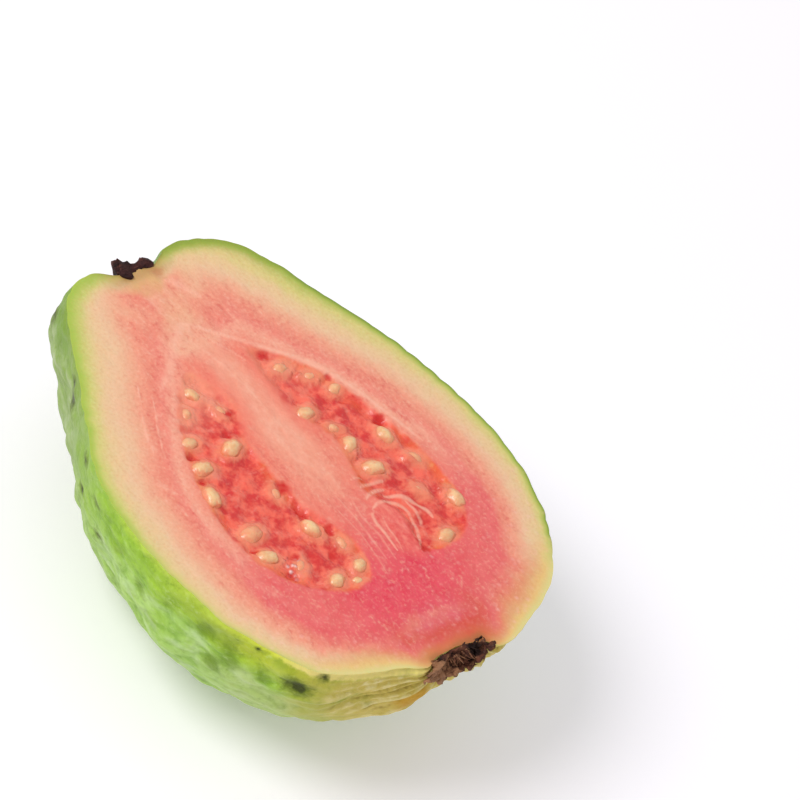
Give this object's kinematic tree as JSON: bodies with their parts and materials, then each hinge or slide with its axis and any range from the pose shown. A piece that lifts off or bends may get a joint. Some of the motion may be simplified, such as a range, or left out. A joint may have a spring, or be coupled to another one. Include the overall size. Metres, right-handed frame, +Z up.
{
  "type": "half guava",
  "caption": "Half of a pear-shaped pink guava, cut lengthwise, lying on its pebbled green rind with pulp and seeds on top.",
  "frame": {"origin": "centre of the small flat spot on the rind that the half rests on, on the surface it lies on", "axes": "+X from the stem end to the calyx end, along the cut; +Z up, square to the cut face; +Y to the wider side of the cut"},
  "size_m": [0.0857, 0.0687, 0.0335],
  "materials": {
    "fruit": "satin pebbled green rind, with wet pink flesh and pulp on the cut",
    "dried_stem": "dry matt",
    "dried_calyx": "dry matt"
  },
  "bodies": {
    "root": {"guava_half": "fruit", "stem_stub": "dried_stem", "calyx_crown": "dried_calyx"}
  },
  "joints": []
}
